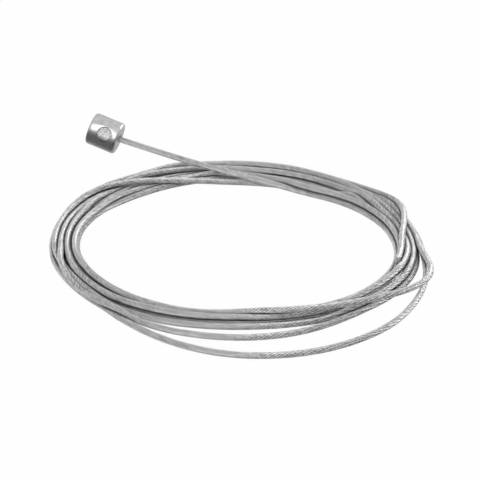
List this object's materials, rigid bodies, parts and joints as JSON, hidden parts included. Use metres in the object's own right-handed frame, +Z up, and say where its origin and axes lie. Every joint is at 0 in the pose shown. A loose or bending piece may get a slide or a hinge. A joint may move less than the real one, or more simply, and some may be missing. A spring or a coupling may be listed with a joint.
{
  "type": "bicycle shift cable",
  "caption": "Coiled steel inner shift cable with a cast cylindrical nipple on one end, lying in loose turns.",
  "frame": {"origin": "under the middle of the whole object's box, on the surface that the coil lies on", "axes": "+Z up, the coil's turning axis; the nipple lies towards -X and +Y, the loose front turn towards -Y"},
  "size_m": [0.0718, 0.0872, 0.0104],
  "materials": {
    "strand": "satin bright steel wire, twisted",
    "nipple": "satin cast zinc alloy"
  },
  "bodies": {
    "root": {"nipple": "nipple", "lead": "strand", "coil": "strand", "front_turn": "strand", "side_turn": "strand"}
  },
  "joints": []
}
